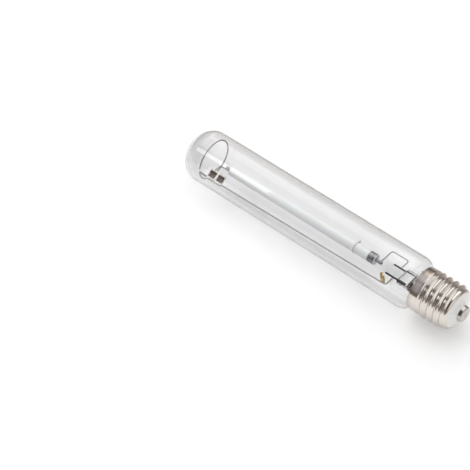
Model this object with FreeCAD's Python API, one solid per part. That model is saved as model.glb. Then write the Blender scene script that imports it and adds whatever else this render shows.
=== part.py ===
"""High pressure sodium lamp: a clear tubular bulb, a ceramic arc tube on a wire frame and a screw cap.

The lamp lies level. Its axis is the X axis and +X points out of the cap. +Z is up.
The origin is the middle of the contact's end face.
The wires of the frame lie in the XY plane, the rail on -Y and the feed loop on +Y.
Places along the axis are distances back from the contact's end face. Angles round the
axis start at +Y and turn towards +Z.
"""
import FreeCAD, Part
import math
import os

V = FreeCAD.Vector
ORIGIN = V(0, 0, 0)
ALONG = V(1, 0, 0)

# Bulb, one blown piece of clear glass
bulb_diameter = 46.0
glass_wall = 1.1
dome_depth = 19.0
dome_knuckle_radius = 16.0
dome_room = 43.0
shoulder_turn = 62.0
shoulder_outer_share = 0.8386
neck_clearance = 0.65
neck_end = 26.0
neck_inside_skirt = 0.92

# Cap shell, rolled from one sheet
cap_length = 43.4
skirt_diameter = 38.4
skirt_length = 7.9
skirt_step = 1.2
shell_sheet = 0.4
thread_pitch = 6.35
thread_crest_diameter = 39.3
thread_root_diameter = 35.7
thread_last_crest = 9.9
thread_turns = 4.0
thread_crest_angle = 214.0
thread_root_flat = 0.9
thread_crest_share = 0.26
thread_run_out = 3.0
shell_end_start = 9.8
shell_end_radius = 2.8

# Insulator, contact and cement of the cap
insulator_depth = 3.4
contact_diameter = 14.2
contact_height = 3.5
contact_edge_radius = 1.3
contact_sheet = 0.6
contact_hole_diameter = 2.6
lead_hole_diameter = 1.2
cement_inset = 0.6
cement_length = 7.2

# Stem, the pressed glass part that carries the frame
stem_diameter = 16.0
stem_wall = 1.1
press_end = 62.0
press_length = 9.0
press_thickness = 4.6
press_root = 48.0
stem_floor = 2.0
exhaust_diameter = 6.0
exhaust_wall = 0.8
exhaust_tip = 20.0
blow_hole_place = 53.5
blow_hole_diameter = 2.4

# Lead rods above the press and thin leads below it
lead_spacing = 11.2
lead_rod_diameter = 1.5
lead_rod_tip = 74.5
lead_rod_seat = 8.0
outer_lead_diameter = 0.8
contact_lead_turn = 15.0
contact_lead_bend = 2.0
side_lead_diameter = 0.5
side_lead_turn = 21.0
side_lead_bend = 2.0
side_lead_angle = 90.0
rim_clearance = 0.1
solder_base_radius = 1.9
solder_top_radius = 1.1
solder_height = 0.9
solder_root_depth = 0.3

# Arc tube, translucent ceramic, and what closes and feeds it
arc_tube_diameter = 9.0
arc_tube_wall = 0.8
arc_tube_start = 88.0
arc_tube_length = 152.0
plug_length = 4.0
niobium_diameter = 3.0
niobium_wall = 0.3
niobium_inner_length = 6.0
niobium_outer_length = 5.6
electrode_rod_diameter = 1.1
electrode_reach = 9.0
electrode_seat = 2.5
coil_diameter = 2.7
coil_length = 4.0
coil_from_tip = 1.5
heat_band_length = 6.2
heat_band_inset = 0.4
heat_band_sheet = 0.15
clip_place = 108.5
clip_wire = 0.5
clip_tail_length = 1.4
clip_tail_angle = 34.0

# Wires of the frame
rail_diameter = 1.2
rail_near_inset = 7.4
rail_far_inset = 5.0
rail_set_length = 31.5
rail_set_radius = 400.0
rail_leg_place = 66.5
rail_bend_radius = 2.4
hoop_room = 23.5
hoop_wire = 1.1
hoop_leg_length = 18.0
hoop_gap_angle = 5.0
feed_diameter = 1.1
feed_rod_leg_place = 67.5
feed_tube_leg_place = 84.0
feed_inset = 7.0
feed_bend_radius = 1.9
strap_diameter = 1.0
strap_leg_gap = 10.5
strap_bend_radius = 2.0
strap_lap = 4.0

# Getters
getter_strip_overlap = 5.2
getter_strip_length = 16.6
getter_strip_width = 8.4
getter_strip_sheet = 0.3
getter_strip_slope = 34.0
getter_strip_overhang = 0.6
getter_flange_width = 1.6
getter_flange_bend = 45.0
getter_pad_length = 6.2
getter_pad_width = 6.2
getter_pad_thickness = 0.9
getter_pad_gap = 1.7
getter_ring_diameter = 9.2
getter_ring_band = 1.9
getter_ring_height = 1.3
getter_ring_sheet = 0.25
getter_ring_place = 72.6
getter_ring_reach = 4.0
getter_ring_turn = 40.0
getter_ring_tilt = 62.0
getter_tab_diameter = 0.8

# Round forms have flat sides and arcs are chords, to keep the facets few
crown_steps = 3
knuckle_steps = 3
shoulder_steps = 2
edge_steps = 2
bend_steps = 3
hoop_steps = 40
wire_sides = 8
hole_sides = 2 * wire_sides
thin_sides = 24
round_sides = 40

# Sizes that follow from the ones above
bulb_radius = bulb_diameter / 2
skirt_radius = skirt_diameter / 2
skirt_bore = skirt_radius - shell_sheet
skirt_end = cap_length - skirt_length
crest_radius = thread_crest_diameter / 2
root_radius = thread_root_diameter / 2
shell_bore = root_radius - shell_sheet
neck_radius = shell_bore - neck_clearance
neck_bore = neck_radius - glass_wall
contact_radius = contact_diameter / 2
stem_radius = stem_diameter / 2
lead_offset = lead_spacing / 2
lead_rod_radius = lead_rod_diameter / 2
rod_end = press_end - lead_rod_seat
stem_floor_place = press_root - stem_floor
arc_tube_radius = arc_tube_diameter / 2
arc_tube_bore = arc_tube_radius - arc_tube_wall
arc_tube_end = arc_tube_start + arc_tube_length
overall_length = arc_tube_end + dome_room
strap_leg_place = arc_tube_end + strap_leg_gap
getter_strip_start = arc_tube_end - getter_strip_overlap
hoop_place = overall_length - hoop_room
rail_set_place = hoop_place - rail_set_length
niobium_radius = niobium_diameter / 2
niobium_bore = niobium_radius - niobium_wall
rail_radius = rail_diameter / 2
rail_near_offset = bulb_radius - rail_near_inset
rail_far_offset = bulb_radius - rail_far_inset
feed_offset = bulb_radius - feed_inset
getter_ring_offset = rail_near_offset - getter_ring_reach


def on_circle(centre, radius, degrees):
    """Point (x, r) on a circle: 0 degrees points along +X, 90 degrees away from the axis."""
    angle = math.radians(degrees)
    return (centre[0] + radius * math.cos(angle), centre[1] + radius * math.sin(angle))


def chords(centre, radius, start, end, steps):
    """Points (x, r) along an arc from just past its start angle to its end angle."""
    return [on_circle(centre, radius, start + (end - start) * step / steps) for step in range(1, steps + 1)]


def ring(x, radius, sides, y=0.0):
    """Corners of a many-sided ring square to the axis, the first one towards +Y."""
    angles = [2 * math.pi * side / sides for side in range(sides)]
    return [V(x, y + radius * math.cos(angle), radius * math.sin(angle)) for angle in angles]


def flat(corners):
    """Flat face inside a closed outline of corners."""
    return Part.Face(Part.makePolygon(corners + corners[:1]))


def turned(*points, sides=round_sides):
    """Solid with flat sides, turned about the lamp's axis from a closed outline of points (x, r)."""
    faces = []
    for (near_x, near_radius), (far_x, far_radius) in zip(points, points[1:] + points[:1]):
        if near_radius == far_radius == 0:
            continue
        near = ring(near_x, near_radius, sides)
        far = ring(far_x, far_radius, sides)
        for side in range(sides):
            beside = (side + 1) % sides
            corners = [near[side], near[beside], far[beside], far[side]]
            if near_radius == 0:
                corners = corners[1:]
            if far_radius == 0:
                corners = corners[:-1]
            faces.append(flat(corners))
    shell = Part.makeShell(faces)
    shell.sewShape()
    return Part.makeSolid(shell).removeSplitter()


def rod(near, far, radius, y=0.0, sides=thin_sides):
    """Rod with flat sides, along the axis between two distances from the contact's face."""
    return flat(ring(-far, radius, sides, y)).extrude(V(far - near, 0, 0))


def pipe(near, far, radius, wall, sides=thin_sides):
    return rod(near, far, radius, sides=sides).cut(rod(near, far, radius - wall, sides=sides))


def place_round(distance, radius, degrees):
    """Point at a distance from the contact's face, off the axis at an angle round it."""
    angle = math.radians(degrees)
    return V(-distance, radius * math.cos(angle), radius * math.sin(angle))


def bent_path(points, radii):
    """Points of straight runs with a bend at each corner, the bends drawn as chords."""
    path = [points[0]]
    for before, corner, after, radius in zip(points, points[1:], points[2:], radii):
        into = (corner - before).normalize()
        out = (after - corner).normalize()
        turn = into.getAngle(out)
        inward = (out - into * into.dot(out)).normalize()
        start = corner - into * radius * math.tan(turn / 2)
        for step in range(bend_steps + 1):
            angle = turn * step / bend_steps
            path.append(start + into * radius * math.sin(angle) + inward * radius * (1 - math.cos(angle)))
    return path + [points[-1]]


def on_section(heading, radius, side):
    """Corner of a many-sided section that is square to a heading."""
    across = heading.cross(V(0, 0, 1) if abs(heading.z) < heading.Length / 2 else ALONG).normalize()
    upward = across.cross(heading).normalize()
    angle = 2 * math.pi * (side + 0.5) / wire_sides
    return across * radius * math.cos(angle) + upward * radius * math.sin(angle)


def wire_along(path, diameter):
    """Wire with a many-sided section swept along a path of points, mitred at each one."""
    heading = path[1] - path[0]
    section = Part.makePolygon([on_section(heading, diameter / 2, side) for side in range(wire_sides + 1)])
    section.translate(path[0])
    sweep = Part.BRepOffsetAPI.MakePipeShell(Part.makePolygon(path))
    sweep.setTransitionMode(1)
    sweep.add(section, False, False)
    sweep.build()
    sweep.makeSolid()
    return sweep.shape()


def bent_wire(points, diameter, radii):
    return wire_along(bent_path(points, radii), diameter)


def blown_body(inset):
    """Body of the bulb, drawn in from its outer face: two arcs, the tube, the shoulder and the neck."""
    radius = bulb_radius - inset
    depth = dome_depth
    knuckle = dome_knuckle_radius
    rise = bulb_radius - knuckle
    crown = (depth ** 2 - knuckle ** 2 + rise ** 2) / (2 * (depth - knuckle))
    crown_centre = (-overall_length + crown, 0)
    knuckle_centre = (-overall_length + depth, rise)
    join = math.degrees(math.atan2(rise, depth - crown))
    turn = math.radians(shoulder_turn)
    both_radii = (bulb_radius - neck_radius) / (1 - math.cos(turn))
    shoulder = both_radii * shoulder_outer_share
    hollow = both_radii - shoulder
    neck_start = cap_length - neck_inside_skirt
    shoulder_start = neck_start + both_radii * math.sin(turn)
    shoulder_centre = (-shoulder_start, bulb_radius - shoulder)
    hollow_centre = (-neck_start, neck_radius + hollow)
    return turned(
        (-overall_length + inset, 0),
        *chords(crown_centre, crown - inset, 180, join, crown_steps),
        *chords(knuckle_centre, knuckle - inset, join, 90, knuckle_steps),
        (-shoulder_start, radius),
        *chords(shoulder_centre, shoulder - inset, 90, 90 - shoulder_turn, shoulder_steps),
        *chords(hollow_centre, hollow + inset, 270 - shoulder_turn, 270, shoulder_steps),
        (-neck_end, neck_radius - inset),
        (-neck_end, 0))


def stem_body(inset, floor):
    """Tube of the stem with its flared end, drawn in from its outer face."""
    flare = neck_end + stem_wall + neck_bore - stem_radius
    return turned(
        (-floor, 0), (-floor, stem_radius - inset), (-flare, stem_radius - inset),
        (-neck_end - stem_wall + inset, neck_bore), (-neck_end, neck_bore), (-neck_end, 0))


def lead_seal(side):
    """Thin lead through the stem's floor, on +Y or -Y, up to the end of its rod."""
    return rod(stem_floor_place, rod_end, outer_lead_diameter / 2, side * lead_offset, hole_sides)


def stem_glass():
    """Stem: flared tube, floor and flat press in one, with seats for the rods, leads and blow hole."""
    half = press_thickness / 2
    ramp = press_end - press_length
    side_view = Part.makePolygon([
        V(-press_end, 0, -half), V(-press_end, 0, half), V(-ramp, 0, half),
        V(-press_root, 0, stem_radius), V(-press_root, 0, -stem_radius),
        V(-ramp, 0, -half), V(-press_end, 0, -half)])
    slab = Part.Face(side_view).extrude(V(0, stem_diameter, 0))
    slab.translate(V(0, -stem_radius, 0))
    press = slab.common(rod(press_root, press_end, stem_radius, sides=round_sides))
    glass = stem_body(0, press_root).cut(stem_body(stem_wall, stem_floor_place)).fuse(press)
    for side in (-1, 1):
        glass = glass.cut(rod(rod_end, press_end, lead_rod_radius, side * lead_offset))
        glass = glass.cut(lead_seal(side))
    hole = blow_hole_diameter / 2
    glass = glass.cut(rod(stem_floor_place, blow_hole_place, hole))
    return glass.cut(Part.makeCylinder(hole, stem_radius, V(-blow_hole_place, 0, 0), V(0, 0, 1)))


def exhaust_tube():
    """Pumping tube on the stem's floor, melted shut at its tip."""
    radius = exhaust_diameter / 2
    bore = radius - exhaust_wall
    centre = (-exhaust_tip - radius, 0)
    return turned(
        (-stem_floor_place, bore), (-stem_floor_place, radius), (centre[0], radius),
        *chords(centre, radius, 90, 0, edge_steps), (centre[0] + bore, 0),
        *chords(centre, bore, 0, 90, edge_steps), sides=thin_sides)


def thread_ridge():
    """Ridge of the right-hand thread, lofted along a helix a little past both of its ends."""
    reach = (thread_pitch - thread_root_flat) / 2
    crest = thread_crest_share * thread_pitch / 2
    sink = shell_sheet / 2
    foot = reach + sink * (reach - crest) / (crest_radius - root_radius)
    outline = [(-foot, root_radius - sink), (-crest, crest_radius), (crest, crest_radius),
               (foot, root_radius - sink), (-foot, root_radius - sink)]
    sections = []
    for step in range(int((thread_turns + 2) * round_sides)):
        angle = 360 * step / round_sides
        back = thread_last_crest + thread_pitch * (thread_turns + (thread_crest_angle - angle) / 360)
        sections.append(Part.makePolygon([place_round(back - x, radius, angle) for x, radius in outline]))
    return Part.makeLoft(sections, True, True)


def threaded_barrel():
    """Barrel with the ridge on it, faded towards the turned-in end and stopped at the skirt."""
    barrel = rod(0, cap_length, root_radius, sides=round_sides)
    above = crest_radius + shell_sheet
    limits = turned(
        (-skirt_end, 0), (-skirt_end, above), (-shell_end_start - thread_run_out, above),
        (-shell_end_start, root_radius - shell_sheet / 2), (-shell_end_start, 0))
    return barrel.fuse(thread_ridge()).common(limits)


def shell_end(radius):
    """Turned-in end of the shell, from its side to its lip."""
    centre = (-shell_end_start, root_radius - shell_end_radius)
    return chords(centre, radius, 90, 0, edge_steps)


def shell_form(inset):
    """Skirt, barrel and turned-in end as one solid form, drawn in from the outer face."""
    end = shell_end(shell_end_radius - inset)
    return turned(
        (-cap_length, 0), (-cap_length, skirt_radius - inset), (-skirt_end, skirt_radius - inset),
        (-skirt_end + skirt_step, root_radius - inset), (-shell_end_start, root_radius - inset),
        *end, (end[-1][0], 0))


def cap_shell():
    """Skirt, thread and turned-in end of the cap in one piece, open at both ends."""
    mouth = rod(0, shell_end_start, shell_end(shell_end_radius)[-1][1], sides=round_sides)
    return shell_form(0).fuse(threaded_barrel()).cut(shell_form(shell_sheet)).cut(mouth)


def cap_insulator():
    """White insulator inside the turned-in end, with a slope up to the contact and a boss inside it."""
    inside = shell_end(shell_end_radius - shell_sheet)
    lip = shell_end(shell_end_radius)[-1]
    foot = (-contact_height, contact_radius)
    boss = contact_radius - contact_sheet
    back = -shell_end_start - insulator_depth
    hole = lead_hole_diameter / 2
    return turned(
        (back, hole), (back, shell_bore), (-shell_end_start, shell_bore), *inside, lip, foot,
        (-contact_height, boss), (-contact_sheet, boss), (-contact_sheet, hole))


def centre_contact():
    """Drawn contact cup over the insulator's boss, with a hole for the lead."""
    edge = (-contact_edge_radius, contact_radius - contact_edge_radius)
    inside = contact_radius - contact_sheet
    hole = contact_hole_diameter / 2
    return turned(
        (0, hole), (0, edge[1]), *chords(edge, contact_edge_radius, 0, 90, edge_steps),
        (-contact_height, contact_radius), (-contact_height, inside),
        (-contact_sheet, inside), (-contact_sheet, hole))


def cap_cement(neck, lead):
    """Cement between the neck and the shell, with a way through for the side lead."""
    far = cap_length - cement_inset
    near = far - cement_length
    fill = pipe(near, far, skirt_bore, skirt_bore - neck_bore, round_sides)
    return fill.cut(neck).cut(lead)


def contact_lead():
    """Lead from the stem's floor to the hole in the contact."""
    points = [V(-rod_end, lead_offset, 0), V(-contact_lead_turn - lead_offset, lead_offset, 0),
              V(-contact_lead_turn, 0, 0), V(-contact_sheet, 0, 0)]
    return bent_wire(points, outer_lead_diameter, (contact_lead_bend, contact_lead_bend))


def side_lead():
    """Lead from the stem, round the end of the neck and back out over the rim of the skirt."""
    beside_neck = (neck_radius + shell_bore) / 2
    beside_skirt = skirt_bore - rim_clearance - side_lead_diameter / 2
    rim = cap_length + rim_clearance + side_lead_diameter / 2
    end_radius = skirt_radius + side_lead_diameter
    start = place_round(rod_end, lead_offset, 180)
    points = [start, place_round(side_lead_turn, lead_offset, 180)]
    for distance, radius in ((side_lead_turn, beside_neck), (skirt_end - skirt_step, beside_neck),
                             (skirt_end + skirt_step, beside_skirt), (rim, beside_skirt), (rim, end_radius)):
        points.append(place_round(distance, radius, side_lead_angle))
    bends = (side_lead_bend,) + (side_lead_diameter,) * (len(points) - 3)
    return bent_wire(points, side_lead_diameter, bends).fuse(lead_seal(-1))


def side_solder(shell, lead):
    """Bead of solder that joins the side lead to the outside of the skirt."""
    root = place_round(cap_length - solder_top_radius, skirt_radius - solder_root_depth, side_lead_angle)
    outward = place_round(0, 1, side_lead_angle)
    bead = Part.makeCone(solder_base_radius, solder_top_radius, solder_root_depth + solder_height, root, outward)
    return bead.cut(rod(0, press_root, skirt_radius, sides=round_sides)).cut(shell).cut(lead)


def electrode(tip, facing):
    """Tungsten rod with its coil and its brazed root. facing is +1 where the root points to the cap."""
    radius = electrode_rod_diameter / 2
    coil = coil_diameter / 2
    coil_end = coil_from_tip + coil_length
    length = electrode_reach + electrode_seat
    solid = turned(
        (0, 0), (0, radius), (coil_from_tip, radius), (coil_from_tip, coil), (coil_end, coil),
        (coil_end, radius), (electrode_reach, radius), (electrode_reach, niobium_bore),
        (length, niobium_bore), (length, 0), sides=thin_sides)
    if facing < 0:
        solid.rotate(ORIGIN, V(0, 0, 1), 180)
    solid.translate(V(-tip, 0, 0))
    return solid


def starting_clip():
    """Thin wire twisted round the arc tube, with the twist as a short tail."""
    half = clip_wire / 2
    band = pipe(clip_place - half, clip_place + half, arc_tube_radius + clip_wire, clip_wire)
    root = place_round(clip_place, arc_tube_radius, clip_tail_angle)
    tail = Part.makeCylinder(clip_wire, clip_wire + clip_tail_length, root, place_round(0, 1, clip_tail_angle))
    return band.fuse(tail).cut(rod(arc_tube_start, arc_tube_end, arc_tube_radius))


def end_hoop():
    """Spring hoop in the dome: one turn of wire whose end is bent back along the rail."""
    beside = rail_radius + hoop_wire / 2
    sweep = 360 - hoop_gap_angle
    path = [place_round(hoop_place, rail_far_offset, 180 - sweep * (1 - step / hoop_steps))
            for step in range(hoop_steps)]
    turn = [V(-hoop_place, -rail_far_offset, 0), V(-hoop_place + beside, -rail_far_offset, -beside),
            V(-hoop_place + beside + hoop_leg_length, -rail_far_offset, -beside)]
    return wire_along(path + turn, hoop_wire)


def frame_rail(lead_rod, hoop):
    """Rail from the hoop to its lead rod, cut to fit round both."""
    points = [V(-hoop_place, -rail_far_offset, 0), V(-rail_set_place, -rail_far_offset, 0),
              V(-rail_leg_place, -rail_near_offset, 0), V(-rail_leg_place, -lead_offset, 0)]
    return bent_wire(points, rail_diameter, (rail_set_radius, rail_bend_radius)).cut(lead_rod).cut(hoop)


def feed_wire(lead_rod, niobium):
    """Square loop of wire from the other lead rod to the arc tube's near end."""
    points = [V(-feed_rod_leg_place, lead_offset, 0), V(-feed_rod_leg_place, feed_offset, 0),
              V(-feed_tube_leg_place, feed_offset, 0), V(-feed_tube_leg_place, 0, 0)]
    wire = bent_wire(points, feed_diameter, (feed_bend_radius, feed_bend_radius))
    return wire.cut(lead_rod).cut(niobium)


def arc_tube_strap(rail):
    """Strap from the rail to the arc tube's far end, laid along the niobium tube."""
    beside = niobium_radius + strap_diameter / 2
    points = [V(-strap_leg_place, -rail_far_offset, 0), V(-strap_leg_place, -beside, 0),
              V(-strap_leg_place + strap_bend_radius + strap_lap + niobium_outer_length / 2, -beside, 0)]
    return bent_wire(points, strap_diameter, (strap_bend_radius,)).cut(rail)


def on_slope(x, across, out):
    """Point on the getter strip's slope: across it from the rail, and out from its back face."""
    slope = math.radians(getter_strip_slope)
    lift = out + rail_radius
    y = across * math.cos(slope) - lift * math.sin(slope)
    z = across * math.sin(slope) + lift * math.cos(slope)
    return V(x, y - rail_far_offset, z)


def getter_strip():
    """Bent strip on the rail: a flat web for the pads and a narrow flange along its lower edge."""
    end = getter_strip_start + getter_strip_length
    bend = math.radians(getter_flange_bend)
    foot = -getter_strip_overhang
    down = getter_flange_width * math.cos(bend)
    out = getter_flange_width * math.sin(bend)
    sheet = getter_strip_sheet
    top = getter_strip_width - getter_strip_overhang
    corners = [(foot, 0), (top, 0), (top, sheet), (foot, sheet), (foot - down, out + sheet), (foot - down, out)]
    points = [on_slope(-end, across, lift) for across, lift in corners]
    face = Part.Face(Part.makePolygon(points + points[:1]))
    return face.extrude(V(getter_strip_length, 0, 0))


def getter_pad(index):
    """Pressed getter pad on the strip's web."""
    margin = (getter_strip_length - 2 * getter_pad_length - getter_pad_gap) / 2
    start = getter_strip_start + margin + index * (getter_pad_length + getter_pad_gap)
    low = (getter_strip_width - getter_pad_width) / 2 - getter_strip_overhang
    sheet = getter_strip_sheet
    corners = [(low, sheet), (low + getter_pad_width, sheet),
               (low + getter_pad_width, sheet + getter_pad_thickness), (low, sheet + getter_pad_thickness)]
    points = [on_slope(-start - getter_pad_length, across, lift) for across, lift in corners]
    face = Part.Face(Part.makePolygon(points + points[:1]))
    return face.extrude(V(getter_pad_length, 0, 0))


def getter_ring(rail):
    """Ring getter near the press: an open channel ring with a tab to the rail."""
    outer = getter_ring_diameter / 2
    inner = outer - getter_ring_band
    half = getter_ring_height / 2
    sheet = getter_ring_sheet
    channel = turned(
        (-half, inner), (half, inner), (half, inner + sheet), (-half + sheet, inner + sheet),
        (-half + sheet, outer - sheet), (half, outer - sheet), (half, outer), (-half, outer),
        sides=thin_sides)
    slope = math.radians(getter_strip_slope)
    near = V(0, -math.sin(slope), math.cos(slope))
    down = V(0, -math.cos(slope), -math.sin(slope))
    turn = math.radians(getter_ring_turn)
    tilt = math.radians(getter_ring_tilt)
    sideways = down * math.cos(turn) - ALONG * math.sin(turn)
    normal = near * math.cos(tilt) + sideways * math.sin(tilt)
    centre = V(-getter_ring_place, -getter_ring_offset, 0)
    channel.Placement = FreeCAD.Placement(centre, FreeCAD.Rotation(ALONG, normal))
    toward = V(0, -1, 0) - normal * normal.dot(V(0, -1, 0))
    root = centre + toward.normalize() * (outer - getter_ring_band / 2)
    rail_here = V(root.x, -rail_near_offset, 0)
    share = (-root.x - rail_leg_place) / (rail_set_place - rail_leg_place)
    rail_here.y = -rail_near_offset - share * (rail_far_offset - rail_near_offset)
    tab = Part.makeCylinder(getter_tab_diameter / 2, (rail_here - root).Length, root, rail_here - root)
    return channel.fuse(tab).cut(rail)


def build():
    """All pieces by name."""
    bulb_body = blown_body(0)
    rail_rod = rod(rod_end, lead_rod_tip, lead_rod_radius, -lead_offset)
    feed_rod = rod(rod_end, lead_rod_tip, lead_rod_radius, lead_offset)
    niobium_near = pipe(arc_tube_start - niobium_outer_length,
                        arc_tube_start + niobium_inner_length, niobium_radius, niobium_wall)
    niobium_far = pipe(arc_tube_end - niobium_inner_length,
                       arc_tube_end + niobium_outer_length, niobium_radius, niobium_wall)
    hoop = end_hoop()
    rail = frame_rail(rail_rod, hoop)
    shell = cap_shell()
    lead = side_lead()
    near_root = arc_tube_start + niobium_inner_length
    far_root = arc_tube_end - niobium_inner_length
    pieces = {
        "outer_bulb": bulb_body.cut(blown_body(glass_wall)),
        "stem_glass": stem_glass(),
        "exhaust_tube": exhaust_tube(),
        "rail_lead_rod": rail_rod,
        "feed_lead_rod": feed_rod,
        "contact_lead": contact_lead(),
        "side_lead": lead,
        "arc_tube": pipe(arc_tube_start, arc_tube_end, arc_tube_radius, arc_tube_wall),
        "near_plug": pipe(arc_tube_start, arc_tube_start + plug_length, arc_tube_bore,
                          arc_tube_bore - niobium_radius),
        "far_plug": pipe(arc_tube_end - plug_length, arc_tube_end, arc_tube_bore,
                         arc_tube_bore - niobium_radius),
        "near_niobium_tube": niobium_near,
        "far_niobium_tube": niobium_far,
        "near_electrode": electrode(near_root + electrode_reach, 1),
        "far_electrode": electrode(far_root - electrode_reach, -1),
        "heat_band": pipe(arc_tube_start + heat_band_inset,
                          arc_tube_start + heat_band_inset + heat_band_length,
                          arc_tube_radius + heat_band_sheet, heat_band_sheet),
        "starting_clip": starting_clip(),
        "frame_rail": rail,
        "end_hoop": hoop,
        "feed_wire": feed_wire(feed_rod, rod(0, arc_tube_start, niobium_radius)),
        "arc_tube_strap": arc_tube_strap(rail),
        "getter_strip": getter_strip(),
        "near_getter_pad": getter_pad(0),
        "far_getter_pad": getter_pad(1),
        "getter_ring": getter_ring(rail),
        "cap_shell": shell,
        "cap_insulator": cap_insulator(),
        "centre_contact": centre_contact(),
        "contact_solder": rod(0, contact_sheet, contact_hole_diameter / 2, sides=round_sides),
        "side_solder": side_solder(shell, lead),
        "cap_cement": cap_cement(bulb_body, lead),
    }
    return pieces


os.makedirs("parts", exist_ok=True)
for name, shape in build().items():
    solids = shape.Solids
    print(f"{name:20s} solids {len(solids)} valid {shape.isValid()} volume {shape.Volume:10.2f} mm3")
    solid = solids[0] if len(solids) == 1 else Part.makeCompound(solids)
    solid.exportStep(f"parts/{name}.step")
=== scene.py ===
import math

import bmesh
import bpy
import numpy as np
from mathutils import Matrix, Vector


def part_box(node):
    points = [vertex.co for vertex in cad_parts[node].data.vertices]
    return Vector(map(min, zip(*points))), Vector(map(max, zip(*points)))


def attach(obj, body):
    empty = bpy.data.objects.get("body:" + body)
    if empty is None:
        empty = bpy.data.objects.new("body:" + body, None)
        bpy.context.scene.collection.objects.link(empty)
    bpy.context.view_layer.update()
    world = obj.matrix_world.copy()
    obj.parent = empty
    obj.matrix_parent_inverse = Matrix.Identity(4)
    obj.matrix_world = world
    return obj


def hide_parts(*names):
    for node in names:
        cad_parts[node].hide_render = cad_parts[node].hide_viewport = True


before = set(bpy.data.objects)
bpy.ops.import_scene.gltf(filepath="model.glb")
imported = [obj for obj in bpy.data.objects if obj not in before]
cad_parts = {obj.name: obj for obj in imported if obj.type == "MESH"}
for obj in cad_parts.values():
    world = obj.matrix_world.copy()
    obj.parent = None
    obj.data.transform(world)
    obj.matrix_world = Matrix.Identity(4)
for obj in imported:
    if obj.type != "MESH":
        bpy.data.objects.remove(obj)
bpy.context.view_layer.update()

mm = 0.001

# The lamp's axis is X, and +X points out of the cap. A place along the lamp is its distance from the face of
# the contact, which is at x = 0. Sizes are millimetres until a mesh is made. Angles round the axis start at
# +Y and turn towards +Z. The wires of the frame lie in the XY plane.
alongX = (1, 0, 0)
alongY = (0, 1, 0)
alongZ = (0, 0, 1)
clearance = 0.02  # between two pieces that fit together
weldBite = 0.8  # a welded wire ends at this share of the other wire's radius
leastTurn = 0.01  # radians: a corner that turns less stays plain
runShare = 0.49  # the most of a run that one rounded corner takes


# Lowest and highest corner of a CAD node, in millimetres.
def nodeBox(node):
    low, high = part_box(node)
    return np.round(np.array(low) / mm, 4), np.round(np.array(high) / mm, 4)


# Where a CAD node starts and ends along the lamp, and its reach in +Y, which is a round node's radius.
def nodeSpan(node):
    low, high = nodeBox(node)
    return -high[0], -low[0], high[1]


# Vectors divided by their own length.
def unit(vectors):
    return vectors / np.linalg.norm(vectors, axis=-1, keepdims=True)


# 0 below the start, 1 above the end, and 3t^2 - 2t^3 between them.
def smoothStep(start, end, values):
    share = np.clip((values - start) / (end - start), 0, 1)
    return share * share * (3 - 2 * share)


# Evenly spaced angles of one full turn.
def fullTurn(sides):
    return 2 * np.pi * np.arange(sides) / sides


# Points on an arc: centre + radius (cos, sin), from one angle to the other in degrees.
def arc(centre, radius, start, end, steps):
    angle = np.radians(np.linspace(start, end, steps + 1))
    return np.column_stack([centre[0] + radius * np.cos(angle), centre[1] + radius * np.sin(angle)])


# An arc about the lamp's axis at one place along it.
def ringPath(place, radius, start, end, steps):
    return np.column_stack([np.full(steps + 1, -place), arc((0, 0), radius, start, end, steps)])


# A path or outline with rounded corners: at each corner a circle of its radius touches both runs, at
# radius * tan(turn / 2) from the corner.
def rounded(points, radii, steps=6, closed=False):
    points = np.asarray(points, float)
    radii = np.broadcast_to(np.asarray(radii, float), len(points))
    path = []
    for index, corner in enumerate(points):
        into = corner - points[index - 1]
        out = points[(index + 1) % len(points)] - corner
        turn = 0.0
        if closed or 0 < index < len(points) - 1:
            turn = math.acos(np.clip(np.dot(unit(into), unit(out)), -1, 1))
        if turn < leastTurn or radii[index] == 0:
            path.append(corner[None])
            continue
        room = runShare * min(np.linalg.norm(into), np.linalg.norm(out))
        reach = min(radii[index] * math.tan(turn / 2), room)
        radius = reach / math.tan(turn / 2)
        ahead = unit(into)
        inward = unit(unit(out) - ahead * np.dot(ahead, unit(out)))
        angle = np.linspace(0, turn, steps + 1)[:, None]
        bend = ahead * radius * np.sin(angle) + inward * radius * (1 - np.cos(angle))
        path.append(corner - ahead * reach + bend)
    return np.vstack(path)


# A profile of (x, r) turned about the axis: y = r cos(angle), z = r sin(angle).
def turnedGrid(profile, sides):
    angle = fullTurn(sides)
    x = np.repeat(profile[:, :1], sides, axis=1)
    return np.stack([x, profile[:, 1:2] * np.cos(angle), profile[:, 1:2] * np.sin(angle)], axis=-1)


# A round section carried along a path. Each ring is square to the path: its side is the tangent times the
# reference, and its up is that side times the tangent. The flat ends have a bevel of a quarter radius.
def wireGrid(path, radius, reference, sides=24):
    path = np.asarray(path, float)
    tangent = unit(np.gradient(path, axis=0))
    bevel = radius / 4
    centres = np.vstack([path[0], path[0], path[0] + tangent[0] * bevel, path[1:-1],
                         path[-1] - tangent[-1] * bevel, path[-1], path[-1]])
    tangents = np.vstack([tangent[[0, 0, 0]], tangent[1:-1], tangent[[-1, -1, -1]]])
    between = np.full(len(path) - 2, radius)
    radii = np.concatenate([[0, radius - bevel, radius], between, [radius, radius - bevel, 0]])
    side = unit(np.cross(tangents, reference))
    up = np.cross(side, tangents)
    angle = fullTurn(sides)[:, None]
    ring = side[:, None] * np.cos(angle) + up[:, None] * np.sin(angle)
    return centres[:, None] + radii[:, None, None] * ring


# A pipe between two places as a closed outline with rounded edges, turned about the axis.
def pipeGrid(near, far, radius, wall, edge, sides):
    corners = [(-near, radius), (-far, radius), (-far, radius - wall), (-near, radius - wall)]
    return turnedGrid(rounded(corners, edge, steps=5, closed=True), sides)


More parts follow.
